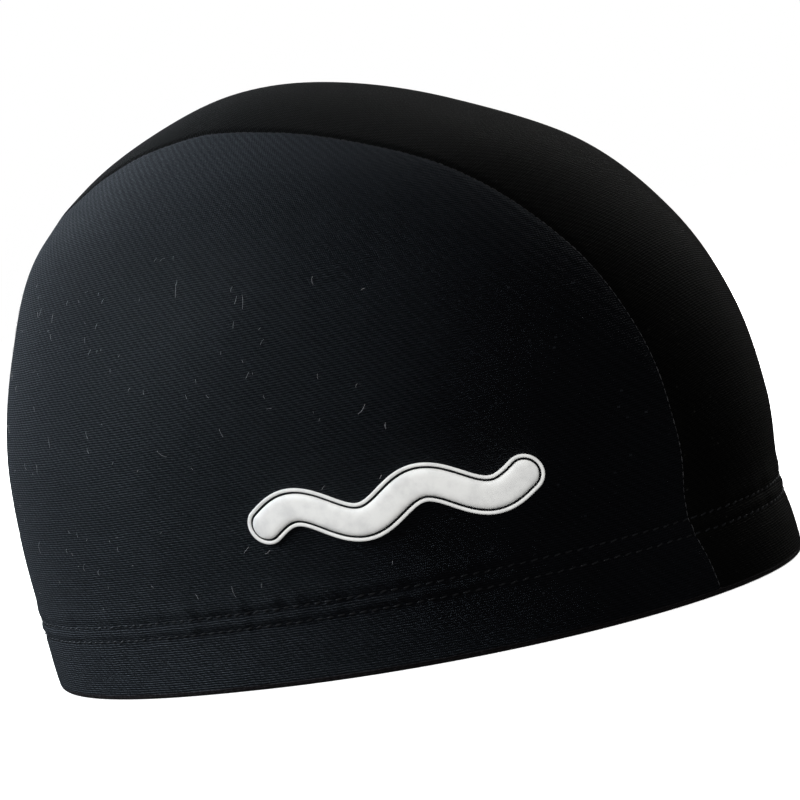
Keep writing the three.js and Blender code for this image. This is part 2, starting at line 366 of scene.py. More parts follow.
def cloth_grid(name: str, points: np.ndarray, pattern: np.ndarray) -> bpy.types.Object:
    """Shapes a grid into a sheet of cloth.

    Args:
        name: The piece's name.
        points: Where each corner of the grid goes, shape (rows, columns, 3), in metres.
        pattern: The knit's own coordinates at each corner, shape (rows, columns, 2), in millimetres.

    Returns:
        The new object, at the origin.
    """
    rows, columns = points.shape[:2]
    bpy.ops.object.select_all(action="DESELECT")
    bpy.ops.mesh.primitive_grid_add(x_subdivisions=columns - 1, y_subdivisions=rows - 1, size=2)
    piece = bpy.context.active_object
    piece.name = piece.data.name = name
    mesh = piece.data
    flat = np.empty(len(mesh.vertices) * 3)
    mesh.vertices.foreach_get("co", flat)
    flat = flat.reshape(-1, 3)
    column = np.rint((flat[:, 0] + 1) / 2 * (columns - 1)).astype(int)
    row = np.rint((flat[:, 1] + 1) / 2 * (rows - 1)).astype(int)
    mesh.vertices.foreach_set("co", points[row, column].ravel())
    corners = np.empty(len(mesh.loops), int)
    mesh.loops.foreach_get("vertex_index", corners)
    layer = mesh.uv_layers.active or mesh.uv_layers.new(name="knit")
    layer.name = "knit"
    layer.data.foreach_set("uv", pattern[row, column][corners].ravel())
    mesh.update()
    select_only(piece)
    bpy.ops.object.mode_set(mode="EDIT")
    bpy.ops.mesh.select_all(action="SELECT")
    bpy.ops.mesh.remove_doubles(threshold=TINY)
    bpy.ops.mesh.normals_make_consistent(inside=False)
    bpy.ops.object.mode_set(mode="OBJECT")
    return piece


def face_outwards(piece: bpy.types.Object, centre: Vector) -> None:
    """Turns an open sheet's faces outwards.

    Args:
        piece: The sheet.
        centre: A point inside it.
    """
    mesh = piece.data
    away = sum(((p.center - centre).normalized().dot(p.normal) for p in mesh.polygons))
    if away < 0:
        mesh.flip_normals()


def thicken(piece: bpy.types.Object, thickness: float) -> None:
    """Gives a sheet its thickness, inwards from its faces.

    Args:
        piece: The sheet.
        thickness: The cloth's thickness in metres.
    """
    select_only(piece)
    wall = piece.modifiers.new("cloth", "SOLIDIFY")
    wall.thickness = thickness
    wall.offset = -1
    wall.use_even_offset = False
    bpy.ops.object.modifier_apply(modifier=wall.name)


def smooth(piece: bpy.types.Object, degrees: float = 50.0) -> None:
    """Shades a piece smoothly, except over its sharp edges.

    Args:
        piece: The piece.
        degrees: The angle past which an edge is sharp.
    """
    select_only(piece)
    bpy.ops.object.shade_smooth_by_angle(angle=math.radians(degrees))


def mesh_of_copies(name: str, corners: np.ndarray, faces: list, places: list) -> bpy.types.Object:
    """Joins many copies of one small shape into a piece.

    Args:
        name: The piece's name.
        corners: The shape's vertices, shape (n, 3).
        faces: Its faces, as tuples of vertex numbers.
        places: A 4x4 matrix for each copy.

    Returns:
        The new object.
    """
    count = len(corners)
    padded = np.c_[corners, np.ones(count)]
    points = np.concatenate([(padded @ np.array(m).T)[:, :3] for m in places])
    all_faces = [tuple(v + k * count for v in f) for k in range(len(places)) for f in faces]
    mesh = bpy.data.meshes.new(name)
    mesh.from_pydata(points.tolist(), [], all_faces)
    mesh.update()
    piece = bpy.data.objects.new(name, mesh)
    bpy.context.scene.collection.objects.link(piece)
    return piece


def standing(origin: np.ndarray, along: np.ndarray, out: np.ndarray) -> Matrix:
    """Makes the place of something that lies on the cloth.

    Args:
        origin: Where it lies.
        along: The direction of its X.
        out: The direction out of the cloth, near its Z.

    Returns:
        The 4x4 matrix.
    """
    x = Vector(along).normalized()
    z = (Vector(out) - x * Vector(out).dot(x)).normalized()
    return pose(x, z.cross(x), z, Vector(origin))


def finish_piece(piece: bpy.types.Object, material: bpy.types.Material, nodes: tuple = ()) -> None:
    """Gives a piece its material and tells the frame what it is.

    Args:
        piece: The finished object.
        material: Its only material.
        nodes: The construction nodes that it stands for.
    """
    piece.data.materials.clear()
    piece.data.materials.append(material)
    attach(piece, "root")
    if nodes:
        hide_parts(*nodes)
    log.info("piece %s: %d faces", piece.name, len(piece.data.polygons))


# Materials

class Links:
    """Small helper that adds shader nodes to one tree and joins them."""

    def __init__(self, tree: bpy.types.NodeTree) -> None:
        """Works on the tree given."""
        self.tree = tree

    def node(self, kind: str, **settings: object) -> bpy.types.Node:
        """Adds a node.

        Args:
            kind: Its type.
            **settings: Its plain settings.

        Returns:
            The node.
        """
        made = self.tree.nodes.new(kind)
        for key, value in settings.items():
            setattr(made, key, value)
        return made

    def put(self, value: object, socket: bpy.types.NodeSocket) -> None:
        """Fills a socket.

        Args:
            value: An output to link, or a plain value.
            socket: The socket.
        """
        if isinstance(value, bpy.types.NodeSocket):
            self.tree.links.new(value, socket)
        else:
            socket.default_value = value

    def sum(self, operation: str, *values: object) -> bpy.types.NodeSocket:
        """Works with numbers.

        Args:
            operation: The Math node's operation.
            *values: Outputs or plain numbers.

        Returns:
            The result.
        """
        made = self.node("ShaderNodeMath", operation=operation)
        for value, socket in zip(values, made.inputs):
            self.put(value, socket)
        return made.outputs[0]

    def noise(
        self, place: object, scale: float, detail: float = 2.0, roughness: float = 0.5,
    ) -> bpy.types.NodeSocket:
        """Adds a noise pattern.

        Args:
            place: The coordinates.
            scale: How fine it is, for each metre.
            detail: How many finer layers it has.
            roughness: How strong they are.

        Returns:
            Its grey value.
        """
        made = self.node("ShaderNodeTexNoise")
        self.put(place, made.inputs["Vector"])
        made.inputs["Scale"].default_value = scale
        made.inputs["Detail"].default_value = detail
        made.inputs["Roughness"].default_value = roughness
        return made.outputs["Fac"]

    def ramp(
        self, value: object, low: float, high: float, out_low: float = 0.0, out_high: float = 1.0,
    ) -> bpy.types.NodeSocket:
        """Maps a value smoothly from one range to another.

        Args:
            value: The value.
            low: Where the first range starts.
            high: Where it ends.
            out_low: Where the second range starts.
            out_high: Where it ends.

        Returns:
            The result.
        """
        made = self.node("ShaderNodeMapRange", interpolation_type="SMOOTHSTEP")
        for key, number in (("From Min", low), ("From Max", high), ("To Min", out_low), ("To Max", out_high)):
            made.inputs[key].default_value = number
        self.put(value, made.inputs["Value"])
        return made.outputs["Result"]

    def mix(self, share: object, first: object, second: object) -> bpy.types.NodeSocket:
        """Mixes two colours.

        Args:
            share: How much of the second there is.
            first: The first colour.
            second: The second colour.

        Returns:
            The mixed colour.
        """
        made = self.node("ShaderNodeMix", data_type="RGBA")
        self.put(share, made.inputs[0])
        self.put(first, made.inputs[6])
        self.put(second, made.inputs[7])
        return made.outputs[2]


def new_material(name: str) -> tuple:
    """Starts a material.

    Args:
        name: The material's name.

    Returns:
        The material, its links, its shader and the object's own coordinates.
    """
    material = bpy.data.materials.new(name)
    material.use_nodes = True
    links = Links(material.node_tree)
    place = links.node("ShaderNodeTexCoord").outputs["Object"]
    return material, links, material.node_tree.nodes["Principled BSDF"], place


class Socket(Enum):
    """The kinds of socket that the shader groups have."""

    NUMBER = "NodeSocketFloat"
    VECTOR = "NodeSocketVector"


def shader_group(name: str, inputs: dict, outputs: dict) -> tuple:
    """Starts a shader node group with named sockets.

    Args:
        name: The group's name.
        inputs: The name of each input, with its kind and its usual value.
        outputs: The name of each output, with its kind.

    Returns:
        The group, its inputs' node and its outputs' node.
    """
    group = bpy.data.node_groups.new(name, "ShaderNodeTree")
    for key, (kind, value) in inputs.items():
        made = group.interface.new_socket(name=key, in_out="INPUT", socket_type=kind.value)
        if value is not None:
            made.default_value = value
    for key, kind in outputs.items():
        group.interface.new_socket(name=key, in_out="OUTPUT", socket_type=kind.value)
    return group, group.nodes.new("NodeGroupInput"), group.nodes.new("NodeGroupOutput")


def knit_group() -> bpy.types.NodeTree:
    """Builds the warp knit's pattern: fine ribs of loops, a soft heather, and rare bright specks that are
    painted glints standing in for the knit's sparkle.

    Returns:
        The group, which takes the knit's coordinates in millimetres and the object's own in metres.
    """
    group, given, result = shader_group(
        "warp_knit",
        {
            "Knit": (Socket.VECTOR, None),
            "Place": (Socket.VECTOR, None),
            "Rib Pitch": (Socket.NUMBER, 0.56),
            "Loop Pitch": (Socket.NUMBER, 0.42),
        },
        {"Rib": Socket.NUMBER, "Loops": Socket.NUMBER, "Heather": Socket.NUMBER, "Painted Glints": Socket.NUMBER},
    )
    links = Links(group)
    split = links.node("ShaderNodeSeparateXYZ")
    links.put(given.outputs["Knit"], split.inputs[0])
    drift = links.noise(given.outputs["Place"], 160.0)
    wobble = links.sum("MULTIPLY", links.sum("SUBTRACT", drift, 0.5), 0.5)
    course = links.sum("DIVIDE", links.sum("ADD", split.outputs["Y"], wobble), given.outputs["Rib Pitch"])
    wale = links.sum("DIVIDE", split.outputs["X"], given.outputs["Loop Pitch"])
    rib = links.sum("SINE", links.sum("MULTIPLY", course, 2 * math.pi))
    stagger = links.sum("MULTIPLY", links.sum("FLOOR", course), 0.5)
    loop = links.sum("SINE", links.sum("MULTIPLY", links.sum("ADD", wale, stagger), 2 * math.pi))
    slantwise = links.sum(
        "ADD", links.sum("MULTIPLY", split.outputs["X"], 3.4), links.sum("MULTIPLY", split.outputs["Y"], 2.6),
    )
    slanted = links.sum("MULTIPLY", links.sum("SINE", slantwise), 0.2)
    rib_share = links.sum("ADD", links.sum("ADD", links.sum("MULTIPLY", rib, 0.44), 0.5), slanted)
    loop_share = links.sum("ADD", links.sum("MULTIPLY", loop, 0.5), 0.5)
    # Rare knit cells picked out of this cell noise become painted glints: bright specks of colour standing in
    # for the knit's sparkle.
    glint_cells = links.node("ShaderNodeTexWhiteNoise", noise_dimensions="2D")
    cell = links.node("ShaderNodeCombineXYZ")
    links.put(links.sum("FLOOR", links.sum("ADD", wale, stagger)), cell.inputs[0])
    links.put(links.sum("FLOOR", course), cell.inputs[1])
    links.put(cell.outputs[0], glint_cells.inputs["Vector"])
    heather = links.noise(given.outputs["Place"], 2200.0, 2.0, 0.7)
    links.put(rib_share, result.inputs["Rib"])
    links.put(loop_share, result.inputs["Loops"])
    links.put(heather, result.inputs["Heather"])
    links.put(links.ramp(glint_cells.outputs["Value"], 0.996, 1.0), result.inputs["Painted Glints"])
    return group


@dataclass(frozen=True)
class KnitFinish:
    """Black stretch knit. Colours are linear, sheen is the cloth's soft bloom at a slant, and the glint colour
    is a painted highlight on rare knit cells.
    """

    name: str
    dark: tuple
    light: tuple
    painted_glint: tuple
    roughness: float
    sheen: float
    sheen_tint: tuple
    specular: float
    lustre: tuple
    rib_pitch: float = 0.56
    bump: float = 1.0

    def make(self, knit: bpy.types.NodeTree) -> bpy.types.Material:
        """Builds the material.

        Args:
            knit: The warp knit's group.

        Returns:
            The material.
        """
        material, links, shader, place = new_material(self.name)
        own = links.node("ShaderNodeUVMap", uv_map="knit")
        cloth = links.node("ShaderNodeGroup", node_tree=knit)
        links.put(own.outputs["UV"], cloth.inputs["Knit"])
        links.put(place, cloth.inputs["Place"])
        cloth.inputs["Rib Pitch"].default_value = self.rib_pitch
        patch = links.noise(place, 28.0, 4.0, 0.6)
        uneven_dye = links.ramp(cloth.outputs["Heather"], 0.3, 0.7, 0.35, 1.0)
        shade = links.sum("MULTIPLY", cloth.outputs["Rib"], uneven_dye)
        colour = links.mix(shade, (*self.dark, 1.0), (*self.light, 1.0))
        worn = links.mix(links.ramp(patch, 0.35, 0.75, 0.0, 0.5), colour, (*self.light, 1.0))
        # Painted glints: the rare bright knit cells are mixed into the colour as specks of painted highlight.
        glint_share = links.sum("MULTIPLY", cloth.outputs["Painted Glints"], 0.7)
        bright = links.mix(glint_share, worn, (*self.painted_glint, 1.0))
        links.put(bright, shader.inputs["Base Color"])
        valley = links.ramp(cloth.outputs["Rib"], 0.1, 0.8, self.roughness + 0.36, self.roughness - 0.1)
        broken = links.ramp(cloth.outputs["Heather"], 0.3, 0.7, 0.12, -0.1)
        uneven = links.ramp(patch, 0.2, 0.8, -0.04, 0.04)
        links.put(links.sum("ADD", links.sum("ADD", valley, uneven), broken), shader.inputs["Roughness"])
        loops = links.sum("ADD", links.sum("MULTIPLY", cloth.outputs["Loops"], 0.4), cloth.outputs["Heather"])
        height = links.sum("ADD", cloth.outputs["Rib"], loops)
        bump = links.node("ShaderNodeBump")
        bump.inputs["Strength"].default_value = self.bump
        bump.inputs["Distance"].default_value = 0.21 * MM
        links.put(height, bump.inputs["Height"])
        links.put(bump.outputs["Normal"], shader.inputs["Normal"])
        shader.inputs["Specular IOR Level"].default_value = self.specular
        shader.inputs["Specular Tint"].default_value = (*self.lustre, 1.0)
        shader.inputs["Sheen Weight"].default_value = self.sheen
        shader.inputs["Sheen Roughness"].default_value = 0.35
        shader.inputs["Sheen Tint"].default_value = (*self.sheen_tint, 1.0)
        return material


@dataclass(frozen=True)
class ThreadFinish:
    """Twisted polyester thread with a faint lustre."""

    name: str
    colour: tuple
    roughness: float = 0.42
    specular: float = 0.45
    twist_scale: float = 2600.0

    def make(self) -> bpy.types.Material:
        """Builds the material and returns it."""
        material, links, shader, place = new_material(self.name)
        ply = links.noise(place, self.twist_scale, 2.0, 0.6)
        dim = tuple(c * 0.45 for c in self.colour)
        colour = links.mix(links.ramp(ply, 0.35, 0.65), (*dim, 1.0), (*self.colour, 1.0))
        links.put(colour, shader.inputs["Base Color"])
        rough = links.ramp(ply, 0.3, 0.7, self.roughness + 0.15, self.roughness)
        links.put(rough, shader.inputs["Roughness"])
        shader.inputs["Specular IOR Level"].default_value = self.specular
        return material


@dataclass(frozen=True)
class InkFinish:
    """Raised white print with a soft, slightly uneven gloss."""

    name: str
    colour: tuple = (0.84, 0.84, 0.82)
    shade: tuple = (0.70, 0.70, 0.69)
    roughness: float = 0.42

    def make(self) -> bpy.types.Material:
        """Builds the material and returns it."""
        material, links, shader, place = new_material(self.name)
        cloudy = links.noise(place, 240.0, 4.0, 0.6)
        links.put(
            links.mix(links.ramp(cloudy, 0.35, 0.75), (*self.colour, 1.0), (*self.shade, 1.0)),
            shader.inputs["Base Color"],
        )
        gloss = links.ramp(cloudy, 0.3, 0.7, self.roughness - 0.08, self.roughness + 0.1)
        links.put(gloss, shader.inputs["Roughness"])
        bump = links.node("ShaderNodeBump")
        bump.inputs["Strength"].default_value = 0.12
        bump.inputs["Distance"].default_value = 0.05 * MM
        links.put(cloudy, bump.inputs["Height"])
        links.put(bump.outputs["Normal"], shader.inputs["Normal"])
        return material


# Panels

class Panel(Enum):
    """The three panels of the cap."""

    RIGHT = "right_side"
    LEFT = "left_side"
    CROWN = "crown"


@dataclass
class SewnPanels:
    """The two side panels and the crown panel, as cloth with rolled seam edges and a stitched-down hem."""

    pattern: Pattern
    seam_space: float = 0.05 * MM
    seam_strip: float = 2.2 * MM
    seam_step: float = 0.35 * MM
    hem_strip: float = 24 * MM
    foot_strip: float = 25 * MM
    hem_step: float = 0.55 * MM
    wide_step: float = 1.7 * MM
    seam_radius: float = 75 * MM
    side_reach: float = 120 * MM
    crown_reach: float = 80 * MM
    side_cut: tuple = (0.190, 0.150)
    side_cut_area: float = 0.0212
    crown_cut: tuple = (0.075, 0.345)
    crown_cut_area: float = 0.0215

    def spread(self, length: float, dense: list) -> np.ndarray:
        """Spaces shares from 0 to 1 along a length, closer together in some stretches.

        Args:
            length: The whole length, in metres.
            dense: (from, to, step) in metres for each closer stretch.

        Returns:
            Rising shares, with both ends.
        """
        fine = np.linspace(0, length, 6001)
        step = np.full(fine.shape, self.wide_step)
        for low, high, wanted in dense:
            step = np.where((fine >= low) & (fine <= high), wanted, step)
        walked = np.concatenate([[0], np.cumsum((fine[1] - fine[0]) / step[1:])])
        count = int(math.ceil(walked[-1]))
        return np.interp(np.linspace(0, walked[-1], count + 1), walked, fine) / length

    def knit_map(self, points: np.ndarray) -> np.ndarray:
        """Gives the side cloth's own coordinates.

        Args:
            points: Points of the smooth form.

        Returns:
            Millimetres along the hem, and up the cloth from the rim.
        """
        form = self.pattern.form
        rises = np.linspace(0, 1, 300)
        angles = np.linspace(-math.pi, math.pi, 361)
        shell = form.points(rises[:, None], angles[None, :])
        up = np.concatenate([
            np.zeros((1, len(angles))), np.cumsum(np.linalg.norm(np.diff(shell, axis=0), axis=2), axis=0),
        ])
        rise = form.rise_at(points[..., 2])
        _, front, widest, back, side, square = form.sections(rise)
        x = points[..., 0] / (form.length / 2) - widest
        power = np.where(x < 0, square, 1.0)
        reach = np.maximum(np.where(x < 0, widest - back, front - widest), TINY)
        y = points[..., 1] / (form.width / 2) / np.maximum(side, TINY)
        angle = np.arctan2(
            np.sign(y) * np.abs(y) ** (1 / power), np.sign(x) * np.abs(x / reach) ** (1 / power),
        )
        row = rise * (len(rises) - 1)
        column = (angle + math.pi) / (2 * math.pi) * (len(angles) - 1)
        r, c = np.minimum(row.astype(int), len(rises) - 2), np.minimum(column.astype(int), len(angles) - 2)
        fr, fc = row - r, column - c
        height = (up[r, c] * (1 - fr) + up[r + 1, c] * fr) * (1 - fc)
        height += (up[r, c + 1] * (1 - fr) + up[r + 1, c + 1] * fr) * fc
        return np.stack([points[..., 0], height], axis=-1) / MM

    def sheet(self, panel: Panel, turns: np.ndarray, tilts: np.ndarray) -> bpy.types.Object:
        """Makes one panel's cloth.

        Args:
            panel: Which panel it is.
            turns: The turn of each column.
            tilts: The tilt at each corner, shape (rows, columns).

        Returns:
            The closed piece.
        """
        points = self.pattern.over(turns[None, :], tilts)
        if panel is Panel.CROWN:
            along = distance_along(points[len(points) // 2])
            knit = np.stack([points[..., 1], np.broadcast_to(along, points.shape[:2])], axis=-1) / MM
        else:
            knit = self.knit_map(points)
        piece = cloth_grid(f"{panel.value}_cloth", self.pattern.sewn(points), knit)
        face_outwards(piece, Vector(self.pattern.centre))
        thicken(piece, self.pattern.cloth)
        smooth(piece)
        return piece

    def columns(self) -> tuple:
        """Spaces the panels' columns.

        Returns:
            The columns' turns, and the left seam's tilt at each.
        """
        fine = np.linspace(0, math.pi, 2001)
        tilt = self.pattern.seam_tilt(fine)
        path = self.pattern.over(fine, tilt)
        walked = distance_along(path)
        strip = self.hem_strip
        dense = [(0, strip, self.hem_step), (walked[-1] - strip, walked[-1], self.hem_step)]
        shares = self.spread(walked[-1], dense)
        turns = np.interp(shares * walked[-1], walked, fine)
        return turns, np.interp(turns, fine, tilt)

    def build(self, side_knit: bpy.types.Material, crown_knit: bpy.types.Material) -> None:
        """Builds and dresses the three panels.

        Args:
            side_knit: The side panels' cloth.
            crown_knit: The crown panel's cloth.
        """
        turns, seam = self.columns()
        quarter = math.pi / 2
        gap = self.seam_space / self.seam_radius
        near_seam = (0, self.seam_strip, self.seam_step)
        foot = (self.side_reach - self.foot_strip, self.side_reach, self.hem_step)
        across = self.spread(self.side_reach, [near_seam, foot])
        side_tilts = seam + gap + (quarter - seam - gap) * across[:, None]
        for panel, side in ((Panel.RIGHT, -1), (Panel.LEFT, 1)):
            piece = self.sheet(panel, turns, side * side_tilts)
            finish_piece(piece, side_knit, (f"{panel.value}_panel",))
        far_seam = (self.crown_reach - self.seam_strip, self.crown_reach, self.seam_step)
        across = 2 * self.spread(self.crown_reach, [near_seam, far_seam]) - 1
        top = self.sheet(Panel.CROWN, turns, (seam - gap) * across[:, None])
        finish_piece(top, crown_knit, ("crown_panel",))


@dataclass
class TurnedHem:
    """The folded rim and the layer that is turned up inside the panels."""

    pattern: Pattern
    space: float = 0.3 * MM
    around: int = 520
    wall_steps: int = 26
    fold_steps: int = 7
    lip: float = 1.38 * MM

    def section(self) -> np.ndarray:
        """Gives the hem's cross-section.

        Returns:
            (inset, height) pairs in metres, round a loop.
        """
        inside = self.pattern.cloth + self.space
        through = inside + self.pattern.cloth
        half = through / 2
        loop = []
        for step in range(self.fold_steps * 2 + 1):
            turn = math.pi * step / (self.fold_steps * 2)
            loop.append((half - half * math.cos(turn), self.lip * (1 - math.sin(turn) ** 0.8)))
        top = self.pattern.hem_depth
        rise = np.linspace(self.lip, top, self.wall_steps)[1:]
        loop += [(through, h) for h in rise]
        loop += [(inside + 0.5 * self.pattern.cloth, top + 0.2 * MM)]
        loop += [(inside, h) for h in rise[::-1]]
        loop += [(inside, self.lip)]
        return np.array(loop)

    def build(self, hem_knit: bpy.types.Material) -> None:
        """Builds and dresses the hem.

        Args:
            hem_knit: The hem's cloth.
        """
        form = self.pattern.form
        section = self.section()
        angles = np.linspace(0, 2 * math.pi, self.around + 1)
        rises = form.rise_at(np.maximum(section[:, 1], 0))
        base = form.points(rises[:, None], angles[None, :])
        out = form.normals(base)
        out[..., 2] *= np.clip(section[:, 1] / (4 * MM), 0, 1)[:, None]
        out /= np.linalg.norm(out, axis=-1, keepdims=True)
        points = base - out * section[:, :1, None]
        walked = distance_along(section)
        round_rim = distance_along(base[0])
        knit = np.stack(np.broadcast_arrays(round_rim[None, :], walked[:, None]), axis=-1) / MM
        points = np.vstack([points, points[:1]])
        knit = np.vstack([knit, knit[-1:]])
        piece = cloth_grid("turned_hem_cloth", points, knit)
        smooth(piece)
        finish_piece(piece, hem_knit, ("turned_hem",))


# Stitches

@dataclass
class Thread:
    """One stitch of thread, modelled once and copied along a line."""

    length: float = 2.1 * MM
    radius: float = 0.25 * MM
    sides: int = 7
    bends: tuple = (-0.3, 0.0, 0.3)

    def shape(self) -> tuple:
        """Models the stitch with its ends turned down into the cloth.

        Returns:
            Its vertices, shape (n, 3), and its faces.
        """
        bpy.ops.object.select_all(action="DESELECT")
        bpy.ops.mesh.primitive_cylinder_add(
            vertices=self.sides, radius=self.radius, depth=self.length, end_fill_type="NGON",
            rotation=(0, math.pi / 2, 0),
        )
        stitch = bpy.context.active_object
        bpy.ops.object.transform_apply(location=True, rotation=True, scale=True)
        bpy.ops.object.mode_set(mode="EDIT")
        for share in self.bends:
            bpy.ops.mesh.select_all(action="SELECT")
            bpy.ops.mesh.bisect(plane_co=(self.length * share, 0, 0), plane_no=(1, 0, 0))
        bpy.ops.object.mode_set(mode="OBJECT")
        corners = np.array([v.co[:] for v in stitch.data.vertices])
        faces = [tuple(p.vertices) for p in stitch.data.polygons]
        share = np.abs(corners[:, 0]) / (self.length / 2)
        corners[:, 1:] *= (1 - 0.45 * share ** 3)[:, None]
        corners[:, 2] -= 1.6 * self.radius * share ** 2.5
        bpy.data.objects.remove(stitch, do_unlink=True)
        return corners, faces


@dataclass
class HemStitches:
    """The two rows of needle thread that hold the turned-up hem."""

    pattern: Pattern
    thread: Thread = field(default_factory=Thread)
    pitch: float = 2.65 * MM
    slant: float = 0.2
    lift: float = 0.1 * MM

    def build(self, finish: bpy.types.Material) -> None:
        """Builds and dresses both rows.

        Args:
            finish: The needle thread.
        """
        form = self.pattern.form
        draw = random.Random(SEED)
        corners, faces = self.thread.shape()
        for name, height in zip(("hem_stitches_upper", "hem_stitches_lower"), self.pattern.stitch_rows):
            round_cap = np.linalg.norm(np.diff(form.ring(height, 2000), axis=0), axis=1).sum()
            count = int(round(round_cap / self.pitch))
            path = form.ring(height, count)
            out = form.normals(path)
            path = self.pattern.sewn(path, self.lift)
            along = np.roll(path, -1, axis=0) - np.roll(path, 1, axis=0)
            places = []
            for point, tangent, normal in zip(path, along, out):
                side = np.cross(normal, tangent / np.linalg.norm(tangent))
                lean = self.slant + draw.uniform(-0.1, 0.1)
                drift = draw.uniform(-0.08, 0.08) * MM
                direction = tangent / np.linalg.norm(tangent) + lean * side
                places.append(standing(point + side * drift, direction, normal))
            piece = mesh_of_copies(name, corners, faces, places)
            smooth(piece)
            finish_piece(piece, finish)


@dataclass
class SeamStitches:
    """The thread that shows in the groove of each crown seam."""

    pattern: Pattern
    thread: Thread = field(default_factory=lambda: Thread(length=1.9 * MM, radius=0.14 * MM))
    pitch: float = 1.75 * MM
    depth: float = 0.05 * MM

    def build(self, finish: bpy.types.Material) -> None:
        """Builds and dresses both seams' thread.

        Args:
            finish: The seam thread.
        """
        draw = random.Random(SEED + 1)
        corners, faces = self.thread.shape()
        fine = np.linspace(0.004, math.pi - 0.004, 3001)
        tilt = self.pattern.seam_tilt(fine)
        for name, side in (("right_seam_stitches", -1), ("left_seam_stitches", 1)):
            path = self.pattern.over(fine, side * tilt)
            walked = distance_along(path)
            wanted = np.arange(self.pitch / 2, walked[-1] - self.pitch / 2, self.pitch)
            points = np.stack([np.interp(wanted, walked, path[:, k]) for k in range(3)], axis=-1)
            out = self.pattern.form.normals(points)
            points = self.pattern.sewn(points, -self.depth)
            along = np.gradient(points, axis=0)
            places = []
            for point, tangent, normal in zip(points, along, out):
                sunk = point + normal * draw.uniform(-0.05, 0.05) * MM
                places.append(standing(sunk, tangent, normal))
            piece = mesh_of_copies(name, corners, faces, places)
            smooth(piece)
            finish_piece(piece, finish)


# Print

@dataclass
class WavePrint:
    """The raised white wave on the near side, and the thin line round it."""

    pattern: Pattern
    start: float = 9.4 * MM
    length: float = 60 * MM
    middle_height: float = 37.8 * MM
    band_width: float = 6.2 * MM
    wave_height: float = 6 * MM
    waves: float = 2.0
    thickness: float = 1.0 * MM
    line_gap: float = 0.5 * MM
    line_width: float = 0.8 * MM
    line_thickness: float = 0.45 * MM
    stations: int = 150
    soft_edge: float = 85.0

    def on_cloth(self, places: np.ndarray, lift: np.ndarray) -> np.ndarray:
        """Lays print places over the near side.

        Args:
            places: (along, up) pairs from the print's start and middle height, in metres.
            lift: The height of each over the cloth.

        Returns:
            Points in metres.
        """
        form = self.pattern.form
        level = float(form.rise_at(self.middle_height))
        angles = np.linspace(math.pi, 2 * math.pi, FINE_STEPS)
        path = form.points(np.full(angles.shape, level), angles)
        walked = distance_along(path)
        origin = np.interp(self.start, path[:, 0], walked)
        angle = np.interp(origin + places[..., 0], walked, angles)
        base = form.points(form.rise_at(self.middle_height + places[..., 1]), angle)
        return self.pattern.sewn(base, lift)

    def frames(self, shares: np.ndarray) -> tuple:
        """Gives the wave's middle line.

        Args:
            shares: Shares of its length.

        Returns:
            Its places, and the direction square to it at each.
        """
        turn = 2 * math.pi * self.waves * shares
        slope = math.pi * self.waves * self.wave_height / self.length * np.cos(turn)
        at = np.stack([self.length * shares, self.wave_height / 2 * np.sin(turn)], axis=-1)
        across = np.stack([-slope, np.ones(shares.shape)], axis=-1)
        return at, across / np.linalg.norm(across, axis=-1, keepdims=True)

    def build_band(self, ink: bpy.types.Material) -> None:
        """Builds and dresses the puffy band.

        Args:
            ink: The raised ink.
        """
        half = self.band_width / 2
        turns = np.linspace(0, math.pi / 2, 14)[1:]
        at, across = self.frames(np.linspace(0, 1, self.stations))
        ahead = np.stack([across[:, 1], -across[:, 0]], axis=-1)
        first = at[0] - ahead[0] * half * np.sin(turns)[::-1, None]
        last = at[-1] + ahead[-1] * half * np.sin(turns)[:, None]
        middle = np.vstack([first, at, last])
        caps = [np.repeat(end, len(turns), 0) for end in (across[:1], across[-1:])]
        sideways = np.vstack([caps[0], across, caps[1]])
        halves = np.concatenate([half * np.cos(turns)[::-1], np.full(len(at), half), half * np.cos(turns)])
        share = np.sin(np.linspace(-1, 1, 29) * math.pi / 2)
        puff = np.clip((1 - np.abs(share) ** 5.0), 0, 1) ** 0.55
        full = np.clip(halves / half, 0, 1) ** 0.6
        rise = (0.12 + 0.88 * puff[:, None] * full[None, :]) * self.thickness
        rise = np.where(np.abs(share)[:, None] > 0.999, 0.02 * MM, rise)
        places = middle[None] + sideways[None] * (share[:, None] * halves[None, :])[..., None]
        top = self.on_cloth(places, rise)
        under = self.on_cloth(places[::-1], np.full(rise.shape, -0.05 * MM))
        points = np.vstack([top, under, top[:1]])
        knit = np.zeros((*points.shape[:2], 2))
        piece = cloth_grid("wave_print_ink", points, knit)
        smooth(piece, self.soft_edge)
        finish_piece(piece, ink, ("wave_print",))

    def build_line(self, ink: bpy.types.Material) -> None:
        """Builds and dresses the thin line round the band.

        Args:
            ink: The raised ink.
        """
        offset = self.band_width / 2 + self.line_gap + self.line_width / 2
        shares = np.linspace(0, 1, self.stations)
        at, across = self.frames(shares)
        loop, outwards = [], []
        for side in (1, -1):
            run, sideways = (at, across) if side > 0 else (at[::-1], -across[::-1])
            loop.append(run)
            outwards.append(sideways)
            turns = -np.linspace(0, math.pi, 30)[1:-1]
            cos, sin = np.cos(turns), np.sin(turns)
            x, y = sideways[-1]
            outwards.append(np.stack([x * cos - y * sin, x * sin + y * cos], axis=-1))
            loop.append(np.repeat(run[-1:], len(turns), 0))
        middle, sideways = np.vstack(loop), np.vstack(outwards)
        middle, sideways = np.vstack([middle, middle[:1]]), np.vstack([sideways, sideways[:1]])
        section = [
            (-1, -0.1), (-1, 0.55), (-0.7, 0.9), (0, 1.0), (0.7, 0.9), (1, 0.55), (1, -0.1), (-1, -0.1),
        ]
        places = [middle + sideways * (offset + a * self.line_width / 2) for a, _ in section]
        lifts = [np.full(len(middle), r * self.line_thickness) for _, r in section]
        points = self.on_cloth(np.stack(places), np.stack(lifts))
        piece = cloth_grid("wave_print_line", points, np.zeros((*points.shape[:2], 2)))
        smooth(piece, self.soft_edge)
        finish_piece(piece, ink, ("wave_print_outline",))


# Lint

